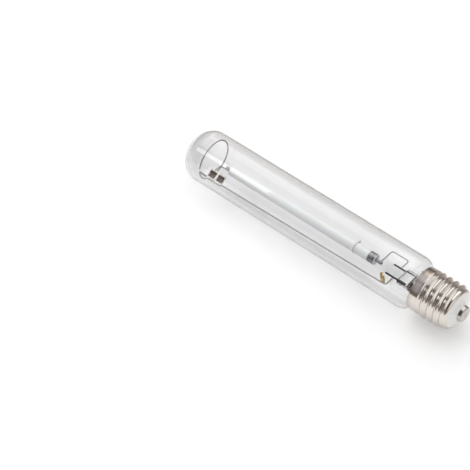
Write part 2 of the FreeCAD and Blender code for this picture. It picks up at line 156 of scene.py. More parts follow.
# Quads between the rows of a grid of points [along, around]. closed joins the last row to the first.
def gridFaces(rows, columns, closed):
    index = np.arange(rows * columns).reshape(rows, columns)
    here = index if closed else index[:-1]
    there = np.roll(index, -1, axis=0) if closed else index[1:]
    cells = np.stack([here, there, np.roll(there, -1, axis=1), np.roll(here, -1, axis=1)], axis=-1)
    return cells.reshape(-1, 4).tolist()


# One piece of the lamp: doubles at the poles are merged and all faces point outwards. Edges that turn more
# than the sharp angle, in degrees, stay crisp.
def addPiece(name, points, faces, finish, slot, *nodes, sharp=40, merge=0.0005):
    mesh = bpy.data.meshes.new(name)
    mesh.from_pydata((points.reshape(-1, 3) * mm).tolist(), [], faces)
    work = bmesh.new()
    work.from_mesh(mesh)
    bmesh.ops.remove_doubles(work, verts=work.verts, dist=merge * mm)
    bmesh.ops.recalc_face_normals(work, faces=work.faces)
    work.to_mesh(mesh)
    work.free()
    mesh.shade_smooth()
    mesh.set_sharp_from_angle(angle=math.radians(sharp))
    mesh.materials.append(finish)
    piece = bpy.data.objects.new(name, mesh)
    bpy.context.scene.collection.objects.link(piece)
    if nodes:
        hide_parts(*nodes)
    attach(piece, "root")
    return piece


# A piece from a grid of points.
def addGrid(name, grid, finish, slot, *nodes, closed=False, sharp=40):
    faces = gridFaces(grid.shape[0], grid.shape[1], closed)
    return addPiece(name, grid, faces, finish, slot, *nodes, sharp=sharp)


# A closed outline of (y, z) carried straight between two places, with flat ends.
def addBar(name, outline, near, far, finish, slot, *nodes):
    count = len(outline)
    points = np.vstack([np.column_stack([np.full(count, -place), outline]) for place in (near, far)])
    corner = np.arange(count)
    after = np.roll(corner, -1)
    sides = np.column_stack([corner, after, after + count, corner + count]).tolist()
    ends = [corner.tolist(), (corner + count).tolist()]
    return addPiece(name, points, sides + ends, finish, slot, *nodes)


# A socket that takes part in sums: each operator adds one Math node.
class Value:
    def __init__(self, finish, socket):
        self.finish = finish
        self.socket = socket

    def math(self, operation, first, second=0.0, clamp=False):
        settings = {"operation": operation, "use_clamp": clamp}
        return self.finish.add("ShaderNodeMath", settings, {0: first, 1: second})

    def __add__(self, other):
        return self.math("ADD", self, other)

    def __sub__(self, other):
        return self.math("SUBTRACT", self, other)

    def __rsub__(self, other):
        return self.math("SUBTRACT", other, self)

    def __mul__(self, other):
        return self.math("MULTIPLY", self, other)

    def __truediv__(self, other):
        return self.math("DIVIDE", self, other)

    def __rtruediv__(self, other):
        return self.math("DIVIDE", other, self)

    def __pow__(self, other):
        return self.math("POWER", self, other)

    def __rpow__(self, other):
        return self.math("POWER", other, self)

    __radd__ = __add__
    __rmul__ = __mul__

    # The value without its sign.
    def size(self):
        return self.math("ABSOLUTE", self)

    # The value held between 0 and 1.
    def clamped(self):
        return self.math("ADD", self, 0.0, clamp=True)

    # 0 at the start and 1 at the end, smooth between them. The start may be the higher of the two.
    def ramp(self, start, end):
        return self.finish.add("ShaderNodeMapRange", {"interpolation_type": "SMOOTHSTEP"},
                               {"Value": self, "From Min": start, "From Max": end})


# A node tree with one method for every node: its type, its settings, then its sockets.
class Finish:
    def __init__(self, tree):
        self.tree = tree

    def add(self, kind, settings=None, sockets=None, output=0):
        node = self.tree.nodes.new(kind)
        for name, value in (settings or {}).items():
            setattr(node, name, value)
        for key, value in (sockets or {}).items():
            self.feed(self.find(node.inputs, key), value)
        return Value(self, self.find(node.outputs, output))

    # A socket by its number, its name or its identifier.
    def find(self, sockets, key):
        if isinstance(key, int):
            return sockets[key]
        return next(socket for socket in sockets if key in (socket.identifier, socket.name))

    # A link from another node, or a plain value.
    def feed(self, socket, value):
        if isinstance(value, Value):
            self.tree.links.new(value.socket, socket)
        else:
            socket.default_value = value

    # The first colour where the factor is 0 and the second where it is 1.
    def mix(self, factor, first, second):
        return self.add("ShaderNodeMix", {"data_type": "RGBA"},
                        {"Factor_Float": factor, "A_Color": first, "B_Color": second}, "Result_Color")

    # Object coordinates, in metres.
    def place(self):
        return self.add("ShaderNodeTexCoord", output="Object")

    # The x, y and z of a vector.
    def axes(self, vector):
        split = self.add("ShaderNodeSeparateXYZ", sockets={"Vector": vector})
        return [Value(self, socket) for socket in split.socket.node.outputs]

    # Noise of so many patches per metre. stretch packs them closer along an axis.
    def noise(self, scale, detail=3.0, vector=None, stretch=None):
        vector = vector or self.place()
        if stretch:
            vector = self.add("ShaderNodeMapping", sockets={"Vector": vector, "Scale": stretch})
        return self.add("ShaderNodeTexNoise", sockets={"Vector": vector, "Scale": scale, "Detail": detail})


# A material with one Principled shader. The constants go on its own sockets.
class Surface(Finish):
    def __init__(self, name, constants):
        self.material = bpy.data.materials.new(name)
        self.material.use_nodes = True
        super().__init__(self.material.node_tree)
        self.shader = self.tree.nodes["Principled BSDF"]
        for key, value in constants.items():
            self.set(key, value)

    # One of the shader's sockets, linked or plain.
    def set(self, key, value):
        self.feed(self.shader.inputs[key], value)

    # Relief as high as the distance, in millimetres, where the height is 1.
    def bump(self, height, distance):
        sockets = {"Height": height, "Distance": distance * mm, "Strength": 1.0}
        self.set("Normal", self.add("ShaderNodeBump", sockets=sockets, output="Normal"))


# A colour that is fully opaque.
def rgba(red, green, blue):
    return (red, green, blue, 1.0)


# The same level of red, green and blue.
def grey(level):
    return rgba(level, level, level)


bulbNear, bulbEnd, bulbRadius = nodeSpan("outer_bulb")
capEnd, crestRadius = nodeSpan("cap_shell")[1:]

print("finishes")
# edge is painted shade: the colour the glass darkens to where it is seen edge on and at the dome's tip.
glassLooks = {
    "clear glass": {"colour": rgba(0.92, 0.92, 0.925), "patches": rgba(0.9062, 0.9062, 0.9111),
                    "edge": rgba(0.62, 0.61, 0.62), "through": grey(0.96), "wave": 0.004},
    "stem glass": {"colour": rgba(0.92, 0.925, 0.92), "patches": rgba(0.9062, 0.9111, 0.9062),
                   "edge": rgba(0.5, 0.52, 0.5), "through": grey(0.9), "wave": 0.06},
}
bothGlasses = {"ior": 1.5, "facing": 0.5, "power": 6.0, "clouds": 25.0, "waves": 90.0}
# Painted shade towards the dome's tip, for the dark crescent that the curved glass shows there.
paintedDomeShade = {"start": 14.0, "full": 1.0, "strength": 0.75}  # start and full are distances from the dome's tip


# Clear glass, with painted shade: darker where it is seen edge on, by facing ^ power, for the dark
# reflections along its outline, and darker towards the dome's tip, for the dark crescent that the curved
# glass shows there.
# For shadows it is transparent, so that lamps shine through to what is behind.
def glassFinish(name, colour, patches, edge, through, wave):
    glass = Surface(name, {"Roughness": 0.0, "IOR": bothGlasses["ior"], "Transmission Weight": 1.0})
    edgeShadeMask = glass.add("ShaderNodeLayerWeight", sockets={"Blend": bothGlasses["facing"]}, output="Facing")
    along = glass.axes(glass.place())[0] / -mm
    domeShadeMask = along.ramp(bulbEnd - paintedDomeShade["start"], bulbEnd - paintedDomeShade["full"]) * paintedDomeShade["strength"]
    clouded = glass.mix(glass.noise(bothGlasses["clouds"]), colour, patches)
    # Painted shade: seen edge on and towards the dome's tip, the colour goes over to the edge colour.
    dark = (edgeShadeMask ** bothGlasses["power"] + domeShadeMask).clamped()
    glass.set("Base Color", glass.mix(dark, clouded, edge))
    glass.bump(glass.noise(bothGlasses["waves"], detail=2.0), wave)
    clear = glass.add("ShaderNodeBsdfTransparent", sockets={"Color": through})
    shadow = glass.add("ShaderNodeLightPath", output="Is Shadow Ray")
    body = Value(glass, glass.shader.outputs[0])
    both = glass.add("ShaderNodeMixShader", sockets={0: shadow, 1: body, 2: clear})
    glass.feed(glass.tree.nodes["Material Output"].inputs["Surface"], both)
    return glass.material


# Opaque finish. Noise of one scale mixes the colour with that of the patches, between the stops if it has
# them, and moves the roughness with it between the two values of rough. The grain, or else that noise, is
# raised by the height.
def opaqueFinish(name, constants, colour, patches, scale, detail, height,
                 rough=None, stops=None, grain=None):
    surface = Surface(name, constants)
    noise = surface.noise(scale, detail)
    drift = noise.ramp(*stops) if stops else noise
    surface.set("Base Color", surface.mix(drift, colour, patches))
    if rough:
        surface.set("Roughness", rough[0] + drift * (rough[1] - rough[0]))
    surface.bump(surface.noise(grain) if grain else noise, height)
    return surface.material


# Plain metal. Its grain is three times as fine as its patches.
def metalFinish(name, colour, patches, rough, scale=400.0, detail=4.0, height=0.01):
    metallic = {"Metallic": 1.0}
    return opaqueFinish(name, metallic, colour, patches, scale, detail, height, rough, grain=scale * 3)


metalLooks = {
    "frame wire": {"colour": rgba(0.42, 0.41, 0.40), "patches": rgba(0.28, 0.27, 0.26), "rough": (0.3, 0.5)},
    "oxidised lead rod": {"colour": rgba(0.06, 0.06, 0.065), "patches": rgba(0.03, 0.03, 0.033),
                          "rough": (0.35, 0.55)},
    "niobium": {"colour": rgba(0.42, 0.42, 0.44), "patches": rgba(0.30, 0.30, 0.32), "rough": (0.35, 0.5)},
    "tungsten": {"colour": rgba(0.30, 0.30, 0.31), "patches": rgba(0.2, 0.2, 0.21), "rough": (0.4, 0.6)},
    "heat band": {"colour": rgba(0.36, 0.34, 0.36), "patches": rgba(0.2, 0.19, 0.21), "rough": (0.22, 0.38)},
    "getter strip": {"colour": rgba(0.66, 0.64, 0.60), "patches": rgba(0.45, 0.43, 0.40),
                     "rough": (0.22, 0.36)},
    "ring getter": {"colour": rgba(0.80, 0.60, 0.30), "patches": rgba(0.52, 0.36, 0.16),
                    "rough": (0.16, 0.3)},
    "contact": {"colour": rgba(0.62, 0.60, 0.58), "patches": rgba(0.46, 0.44, 0.42), "rough": (0.16, 0.28)},
    "solder": {"colour": rgba(0.62, 0.61, 0.59), "patches": rgba(0.42, 0.41, 0.39), "rough": (0.3, 0.5),
               "scale": 700.0, "height": 0.05},
}
opaqueLooks = {
    "translucent ceramic": {
        "constants": {"Coat Weight": 0.25, "Coat Roughness": 0.15, "Subsurface Weight": 0.15,
                      "Subsurface Scale": 0.002},
        "colour": rgba(0.97, 0.97, 0.96), "patches": rgba(0.92, 0.92, 0.92), "scale": 120.0, "detail": 3.0,
        "rough": (0.32, 0.42), "grain": 2500.0, "height": 0.006},
    "white glazed insulator": {
        "constants": {"Coat Weight": 0.4, "Coat Roughness": 0.08},
        "colour": rgba(0.88, 0.88, 0.86), "patches": rgba(0.74, 0.72, 0.68), "scale": 160.0, "detail": 5.0,
        "stops": (0.55, 0.8), "rough": (0.3, 0.5), "grain": 700.0, "height": 0.02},
    "baked cement": {
        "constants": {"Roughness": 0.85},
        "colour": rgba(0.62, 0.52, 0.36), "patches": rgba(0.34, 0.27, 0.16), "scale": 900.0, "detail": 6.0,
        "stops": (0.35, 0.65), "height": 0.15},
    "sintered getter powder": {
        "constants": {"Roughness": 0.75, "Metallic": 0.3},
        "colour": rgba(0.075, 0.055, 0.045), "patches": rgba(0.16, 0.125, 0.11), "scale": 1500.0,
        "detail": 5.0, "stops": (0.3, 0.7), "height": 0.06},
}
nickelLook = {"colour": rgba(0.75, 0.715, 0.68), "tarnish": rgba(0.46, 0.38, 0.31), "blotch": 90.0,
              "blotchStops": (0.5, 0.75), "blotchShare": 0.25, "rimWidth": 5.4, "rimShare": 0.45,
              "lines": 60.0, "linesStretch": (30.0, 1.0, 1.0), "linesRelief": 0.4, "relief": 0.03,
              "smooth": 0.10, "linesRough": 0.08, "tarnishRough": 0.03}


# Bright nickel plate: brown tarnish in blotches and towards the skirt's rim, fine lines round the shell.
def nickelFinish(look):
    nickel = Surface("nickel plate", {"Metallic": 1.0})
    along = nickel.axes(nickel.place())[0] / -mm
    blotch = nickel.noise(look["blotch"], detail=4.0)
    rim = along.ramp(capEnd - look["rimWidth"], capEnd)
    tarnish = (blotch.ramp(*look["blotchStops"]) * look["blotchShare"] + rim * look["rimShare"]).clamped()
    lines = nickel.noise(look["lines"], stretch=look["linesStretch"])
    nickel.set("Base Color", nickel.mix(tarnish, look["colour"], look["tarnish"]))
    nickel.set("Roughness", look["smooth"] + lines * look["linesRough"] + tarnish * look["tarnishRough"])
    nickel.bump(lines * look["linesRelief"] + blotch, look["relief"])
    return nickel.material


glasses = {name: glassFinish(name, **look) for name, look in glassLooks.items()}
metals = {name: metalFinish(name, **look) for name, look in metalLooks.items()}
opaques = {name: opaqueFinish(name, **look) for name, look in opaqueLooks.items()}
nickelPlate = nickelFinish(nickelLook)


print("bulb")
bulb = {"wall": 1.1, "domeDepth": 19.0, "knuckle": 16.0, "shoulderTurn": 62.0, "outerShare": 0.8386,
        "neckRadius": 16.8, "neckStart": 42.48, "sides": 192}
bulbSteps = {"crown": 24, "knuckle": 16, "tube": 33, "shoulder": 16, "hollow": 10}


# Outline of the bulb, drawn in from its outer face: crown arc, knuckle arc, tube, shoulder arc, hollow arc
# and neck. The crown's radius makes it touch the knuckle, and the last two arcs share the step to the neck.
def bulbOutline(inset):
    depth, knuckle, turn = bulb["domeDepth"], bulb["knuckle"], bulb["shoulderTurn"]
    rise = bulbRadius - knuckle
    crown = (depth ** 2 - knuckle ** 2 + rise ** 2) / (2 * (depth - knuckle))
    join = math.degrees(math.atan2(rise, depth - crown))
    both = (bulbRadius - bulb["neckRadius"]) / (1 - math.cos(math.radians(turn)))
    outer = both * bulb["outerShare"]
    inner = both - outer
    start = bulb["neckStart"] + both * math.sin(math.radians(turn))
    tubeX = np.linspace(depth - bulbEnd, -start, bulbSteps["tube"] + 1)[1:-1]
    hollowCentre = (-bulb["neckStart"], bulb["neckRadius"] + inner)
    return np.vstack([
        arc((crown - bulbEnd, 0), crown - inset, 180, join, bulbSteps["crown"]),
        arc((depth - bulbEnd, rise), knuckle - inset, join, 90, bulbSteps["knuckle"])[1:],
        np.column_stack([tubeX, np.full(len(tubeX), bulbRadius - inset)]),
        arc((-start, bulbRadius - outer), outer - inset, 90, 90 - turn, bulbSteps["shoulder"]),
        arc(hollowCentre, inner + inset, 270 - turn, 270, bulbSteps["hollow"])[1:],
        [[-bulbNear, bulb["neckRadius"] - inset]]])


bulbProfile = np.vstack([bulbOutline(0), bulbOutline(bulb["wall"])[::-1]])
addGrid("outerBulb", turnedGrid(bulbProfile, bulb["sides"]), glasses["clear glass"], "clear_glass",
        "outer_bulb")


print("stem")
flareEnd, pressEnd, flareRadius = nodeSpan("stem_glass")
stem = {"wall": 1.1, "radius": 8.0, "flareStart": 36.0, "flareCurve": 1.6, "flareLip": 0.66,
        "tubeHold": 43.5, "tubeEnd": 46.5, "floor": 46.0, "floorEdge": 1.0, "pressStart": 53.0,
        "halfThick": 2.3, "halfWide": 8.0, "edge": 0.6, "corner": 4.5, "sides": 96}
stemSteps = {"flare": 16, "press": 36, "edge": 6}


# Signed power: keeps the sign of the base.
def signedPower(base, power):
    return np.sign(base) * np.abs(base) ** power


# Rows (place, a, b, n) of the stem's closed skin, from the floor of its bore, out round the flare and back
# to the end of the press. The section is a superellipse |y/a|^n + |z/b|^n = 1. Its half width a and half
# height b fade from a round tube to a flat press, while n grows from 2 to the press's corner value.
def stemRows():
    radius, thick, wide, edge = stem["radius"], stem["halfThick"], stem["halfWide"], stem["edge"]
    bore = radius - stem["wall"]
    place = np.linspace(stem["flareStart"], flareEnd, stemSteps["flare"])
    flare = smoothStep(stem["flareStart"], flareEnd, place) ** stem["flareCurve"]
    outside = np.column_stack([place, radius + flare * (flareRadius - radius)])[::-1]
    inside = outside - [0.0, stem["wall"]]
    inside[0] = [flareEnd, flareRadius - stem["flareLip"]]
    floor, floorEdge = stem["floor"], stem["floorEdge"]
    boreEnd = [[floor, 0.0], [floor, bore - floorEdge], [floor - floorEdge, bore]]
    turned = np.vstack([boreEnd, inside[::-1], outside, [[stem["tubeHold"], radius]]])
    tube = np.column_stack([turned, turned[:, 1], np.full(len(turned), 2.0)])
    place = np.linspace(stem["tubeEnd"], pressEnd - edge, stemSteps["press"])
    flat = smoothStep(stem["tubeEnd"], stem["pressStart"], place)
    press = np.column_stack([place, radius + (wide - radius) * flat, radius + (thick - radius) * flat,
                             2 + (stem["corner"] - 2) * flat])
    turn = np.linspace(0, np.pi / 2, stemSteps["edge"] + 1)[1:]
    drop = edge * (1 - np.cos(turn))
    end = np.column_stack([pressEnd - edge + edge * np.sin(turn), wide - drop, thick - drop,
                           np.full(len(turn), stem["corner"])])
    return np.vstack([tube, press, end, [[pressEnd, 0.0, 0.0, stem["corner"]]]])


# Each row as a ring: y = a cos^p and z = b sin^p of its angle, where p = 2 / n.
def stemGrid():
    rows = stemRows()
    angle = fullTurn(stem["sides"])
    power = 2 / rows[:, 3:4]
    y = rows[:, 1:2] * signedPower(np.cos(angle), power)
    z = rows[:, 2:3] * signedPower(np.sin(angle), power)
    return np.stack([np.repeat(-rows[:, :1], stem["sides"], axis=1), y, z], axis=-1)


addGrid("stemGlass", stemGrid(), glasses["stem glass"], "stem_glass", "stem_glass")


print("rods, leads and wires")
rodNear, rodTip, rodOuter = nodeSpan("feed_lead_rod")
rodRadius = nodeBox("feed_lead_rod")[1][2]
rodOffset = rodOuter - rodRadius
rodSteps = 12
rods = (("railLeadRod", "rail_lead_rod", -rodOffset), ("feedLeadRod", "feed_lead_rod", rodOffset))
for name, node, y in rods:
    rodPath = np.linspace((-rodNear, y, 0), (-rodTip, y, 0), rodSteps)
    addGrid(name, wireGrid(rodPath, rodRadius, alongZ), metals["oxidised lead rod"], "lead_rod_dark", node)


# A bent wire in the XY plane. Each corner is (place, y), with the radius of its bend.
def addFlatWire(name, node, radius, corners, bends):
    path = rounded([(-place, y, 0) for place, y in corners], bends, steps=10)
    addGrid(name, wireGrid(path, radius, alongZ), metals["frame wire"], "frame_wire", node)


rail = {"radius": 0.6, "near": 15.6, "far": 18.0, "set": 228.0, "setBend": 400.0, "leg": 66.5, "bend": 2.4}
hoop = {"place": 259.5, "radius": 18.0, "wire": 0.55, "leg": 18.0, "start": -175.0, "end": 172.0,
        "steps": 119, "bend": 0.8, "touch": 0.6, "reference": (0.9, 0.05, 0.43)}
addFlatWire("frameRail", "frame_rail", rail["radius"],
            [(hoop["place"], -rail["far"]), (rail["set"], -rail["far"]), (rail["leg"], -rail["near"]),
             (rail["leg"], -rodOffset - rodRadius * weldBite)], [0, rail["setBend"], rail["bend"], 0])

# Hoop: nearly one turn about the axis, from above the rail round to its underside, then a leg back along it.
beside = rail["radius"] + hoop["wire"]
hoopRing = ringPath(hoop["place"], hoop["radius"], hoop["end"], hoop["start"], hoop["steps"])
railTouch = [-hoop["place"], -hoop["radius"], -beside * hoop["touch"]]
legStart = [-hoop["place"] + beside, -rail["far"], -beside]
legEnd = [legStart[0] + hoop["leg"], -rail["far"], -beside]
hoopPath = rounded(np.vstack([hoopRing, railTouch, legStart, legEnd]), hoop["bend"], steps=4)
addGrid("endHoop", wireGrid(hoopPath, hoop["wire"], hoop["reference"]), metals["frame wire"], "frame_wire",
        "end_hoop")

feed = {"radius": 0.55, "near": 67.5, "far": 84.0, "offset": 16.0, "bend": 1.9, "tubeBite": 0.9}
niobium = {"radius": nodeSpan("near_niobium_tube")[2], "wall": 0.3, "edge": 0.12, "sides": 48}
addFlatWire("feedWire", "feed_wire", feed["radius"],
            [(feed["near"], rodOffset + rodRadius * weldBite), (feed["near"], feed["offset"]),
             (feed["far"], feed["offset"]), (feed["far"], niobium["radius"] * feed["tubeBite"])],
            [0, feed["bend"], feed["bend"], 0])

strap = {"radius": 0.5, "leg": 250.5, "bend": 2.0, "end": 241.7}
strapSide = niobium["radius"] + strap["radius"]
addFlatWire("arcTubeStrap", "arc_tube_strap", strap["radius"],
            [(strap["leg"], -rail["far"] + rail["radius"] * weldBite), (strap["leg"], -strapSide),
             (strap["end"], -strapSide)], [0, strap["bend"], 0])


print("arc tube")
tubeNear, tubeFar, tubeRadius = nodeSpan("arc_tube")
tube = {"wall": 0.8, "edge": 0.3, "sides": 96}
plug = {"sunk": 0.15, "edge": 0.25}
tubeGrid = pipeGrid(tubeNear, tubeFar, tubeRadius, tube["wall"], tube["edge"], tube["sides"])
addGrid("arcTube", tubeGrid, opaques["translucent ceramic"], "arc_tube_ceramic", "arc_tube", closed=True)
plugRadius = tubeRadius - tube["wall"] - clearance
plugWall = plugRadius - niobium["radius"]
for name in ("near", "far"):
    plugEnds = np.clip(nodeSpan(name + "_plug")[:2], tubeNear + plug["sunk"], tubeFar - plug["sunk"])
    plugGrid = pipeGrid(*plugEnds, plugRadius, plugWall, plug["edge"], tube["sides"])
    addGrid(name + "Plug", plugGrid, opaques["translucent ceramic"], "arc_tube_ceramic", name + "_plug",
            closed=True)
    metalSpan = nodeSpan(name + "_niobium_tube")
    metalGrid = pipeGrid(*metalSpan, niobium["wall"], niobium["edge"], niobium["sides"])
    addGrid(name + "NiobiumTube", metalGrid, metals["niobium"], "niobium", name + "_niobium_tube",
            closed=True)

bandNear, bandFar, bandRadius = nodeSpan("heat_band")
band = {"edge": 0.06, "sheet": bandRadius - tubeRadius - clearance}
addGrid("heatBand", pipeGrid(bandNear, bandFar, bandRadius, band["sheet"], band["edge"], tube["sides"]),
        metals["heat band"], "band_metal", "heat_band", closed=True)

# Starting clip: one turn of thin wire on the tube. Its two ends are twisted together into a short tail, each
# a helix about the tail's line.
clip = {"place": 108.5, "radius": 0.25, "angle": 34.0, "gap": 4.0, "steps": 71, "sides": 16, "tail": 1.4,
        "twists": 2.5, "tailWire": 0.9, "tailSteps": 30, "tailSides": 12, "tailReference": (1, 0.1, 0.2)}
clipOffset = tubeRadius + clip["radius"]
clipStart = clip["angle"] + clip["gap"]
clipRing = ringPath(clip["place"], clipOffset, clipStart, clipStart + 360 - 2 * clip["gap"], clip["steps"])
tailShare = np.linspace(0, 1, clip["tailSteps"])
tailWay = clipOffset + clip["radius"] + tailShare * clip["tail"]
heading = math.radians(clip["angle"])
for name, phase in (("clipTailA", 0.0), ("clipTailB", np.pi)):
    twist = phase + 2 * np.pi * clip["twists"] * tailShare
    sideways = clip["radius"] * np.cos(twist)
    tailPath = np.column_stack([-clip["place"] + clip["radius"] * np.sin(twist),
                                tailWay * math.cos(heading) - sideways * math.sin(heading),
                                tailWay * math.sin(heading) + sideways * math.cos(heading)])
    tailWire = clip["radius"] * clip["tailWire"]
    tailGrid = wireGrid(tailPath, tailWire, clip["tailReference"], clip["tailSides"])
    addGrid(name, tailGrid, metals["frame wire"], "frame_wire")
addGrid("startingClip", wireGrid(clipRing, clip["radius"], alongX, clip["sides"]), metals["getter strip"],
        "frame_wire", "starting_clip")


print("getters")
stripNear, stripFar = nodeSpan("getter_strip")[:2]
getter = {"width": 8.4, "sheet": 0.3, "slope": 34.0, "overhang": 0.6, "flange": 1.6, "flangeBend": 45.0,
          "flangeTrim": 0.1, "fold": 0.5, "pad": 5.5, "padThick": 0.9, "padGap": 3.0, "padCorner": 0.12,
          "padEdge": 0.1}


# A point of the strip's section, (across it, out from its back face), turned by the slope into (y, z).
def onSlope(points):
    points = np.asarray(points, float)
    slope = math.radians(getter["slope"])
    lift = points[:, 1] + rail["radius"]
    return np.column_stack([points[:, 0] * math.cos(slope) - lift * math.sin(slope) - rail["far"],
                            points[:, 0] * math.sin(slope) + lift * math.cos(slope)])


# Both faces of a bent sheet: its middle line moved out by half its thickness, each way along the normal.
def sheetOutline(middle, sheet):
    along = unit(np.gradient(middle, axis=0))
    normal = np.column_stack([-along[:, 1], along[:, 0]])
    return np.vstack([middle + normal * sheet / 2, (middle - normal * sheet / 2)[::-1]])


flangeTurn = math.radians(getter["flangeBend"])
flangeDown = getter["flange"] * math.cos(flangeTurn) - getter["flangeTrim"]
flangeOut = getter["flange"] * math.sin(flangeTurn) - getter["flangeTrim"]
halfSheet = getter["sheet"] / 2
stripMiddle = rounded([(getter["width"] - getter["overhang"], halfSheet), (-getter["overhang"], halfSheet),
                       (-getter["overhang"] - flangeDown, halfSheet + flangeOut)], [0, getter["fold"], 0])
addBar("getterStrip", onSlope(sheetOutline(stripMiddle, getter["sheet"])), stripNear, stripFar,
       metals["getter strip"], "getter_strip_metal", "getter_strip")

padMargin = (stripFar - stripNear - 2 * getter["pad"] - getter["padGap"]) / 2
padLow = (getter["width"] - getter["pad"]) / 2 - getter["overhang"]
padHigh = padLow + getter["pad"]
padBase = getter["sheet"]
padTop = padBase + getter["padThick"]
padOutline = rounded([(padLow, padBase), (padHigh, padBase), (padHigh, padTop), (padLow, padTop)],
                     getter["padCorner"], steps=3, closed=True)
for index, name in enumerate(("near", "far")):
    padStart = stripNear + padMargin + index * (getter["pad"] + getter["padGap"])
    pad = addBar(name + "GetterPad", onSlope(padOutline), padStart, padStart + getter["pad"],
                 opaques["sintered getter powder"], "getter_dark", name + "_getter_pad")
    soften = pad.modifiers.new("edge", "BEVEL")
    soften.width = getter["padEdge"] * mm
    soften.segments = 2
    soften.limit_method = "ANGLE"

ringGetter = {"outer": 4.6, "band": 1.9, "half": 0.65, "sheet": 0.25, "corner": 0.4, "lip": 0.1, "fold": 0.2,
              "place": 72.6, "offset": 11.6, "turn": 40.0, "tilt": 62.0, "sides": 96, "tabWire": 0.35,
              "tabInset": 0.3, "tabOverlap": 0.1, "tabSteps": 6, "tabReference": (0.2, 0, 1)}
ringCentre = np.array([-ringGetter["place"], -ringGetter["offset"], 0])


# The ring getter's axis: square to the strip's face, then tilted towards the rail and the dome.
def ringGetterNormal():
    slope, turn, tilt = np.radians((getter["slope"], ringGetter["turn"], ringGetter["tilt"]))
    out = np.array([0, -math.sin(slope), math.cos(slope)])
    down = np.array([0, -math.cos(slope), -math.sin(slope)])
    sideways = down * math.cos(turn) - np.array(alongX) * math.sin(turn)
    return out * math.cos(tilt) + sideways * math.sin(tilt)


# Ring getter: a channel section turned about its own axis, then set in the lamp on its normal and two
# directions square to it.
def ringGetterGrid(normal):
    outer, half, sheet = ringGetter["outer"], ringGetter["half"], ringGetter["sheet"]
    inner = outer - ringGetter["band"]
    corner, lip, fold = ringGetter["corner"], ringGetter["lip"], ringGetter["fold"]
    channel = rounded([(-half, inner), (half, inner), (half, inner + sheet), (-half + sheet, inner + sheet),
                       (-half + sheet, outer - sheet), (half, outer - sheet), (half, outer), (-half, outer)],
                      [corner, lip, lip, fold, fold, lip, lip, corner], steps=4, closed=True)
    across = unit(np.cross(normal, alongZ))
    third = np.cross(normal, across)
    return ringCentre + turnedGrid(channel, ringGetter["sides"]) @ np.stack([normal, across, third])


ringNormal = ringGetterNormal()
addGrid("getterRing", ringGetterGrid(ringNormal), metals["ring getter"], "ring_getter_gold", "getter_ring",
        closed=True)

# Its tab: a short wire from the ring's rim, on the side towards the rail, to the rail.
towardRail = -np.array(alongY)
inPlane = unit(towardRail - ringNormal * np.dot(ringNormal, towardRail))
tabRoot = ringCentre + inPlane * (ringGetter["outer"] - ringGetter["tabInset"])
tabEnd = np.array([tabRoot[0], -rail["near"] - ringGetter["tabOverlap"], 0.0])
tabPath = np.linspace(tabRoot, tabEnd, ringGetter["tabSteps"])
tabGrid = wireGrid(tabPath, ringGetter["tabWire"], ringGetter["tabReference"], sides=16)
addGrid("getterRingTab", tabGrid, metals["frame wire"], "frame_wire")


print("cap")
cap = {"rim": 18.95, "rimEdge": 0.18, "coneHolds": (0.5, 0.7, 6.6), "skirt": 19.2, "skirtEnd": 35.5,
       "step": 1.2, "stepBend": 0.9, "innerStep": 0.6, "barrelHold": 1.0, "sheet": 0.4, "root": 17.85,
       "pitch": 6.35, "lastCrest": 9.9, "crestAngle": 214.0, "crestCurve": 1.4, "fadeIn": 2.2,
       "fadeOut": (9.2, 12.8), "endStart": 9.8, "endRadius": 2.8, "sides": 288}
capSteps = {"barrel": 170, "end": 12, "innerEnd": 8}
capEndCentre = (-cap["endStart"], cap["root"] - cap["endRadius"])


# Outside of the shell: the rim, the slightly coned skirt, the step, the barrel and the turned-in end. The
# cone's extra points, placed from the rim, hold its straight line next to the rounded corners.
def shellOutside():
    rim, root, skirtEnd = cap["rim"], cap["root"], cap["skirtEnd"]
    stepEnd = skirtEnd - cap["step"]
    slope = (cap["skirt"] - rim) / (capEnd - skirtEnd)
    cone = [(way - capEnd, rim + way * slope) for way in cap["coneHolds"]]
    skirt = rounded([(-capEnd, rim - cap["sheet"]), (-capEnd, rim), *cone, (-skirtEnd, cap["skirt"]),
                     (-stepEnd, root), (-stepEnd + cap["barrelHold"], root)],
                    [0, cap["rimEdge"], 0, 0, 0, cap["stepBend"], cap["stepBend"], 0])
    barrelX = np.linspace(skirt[-1, 0], -cap["endStart"], capSteps["barrel"])[1:]
    barrel = np.column_stack([barrelX, np.full(len(barrelX), root)])
    return np.vstack([skirt, barrel, arc(capEndCentre, cap["endRadius"], 90, 0, capSteps["end"])[1:]])


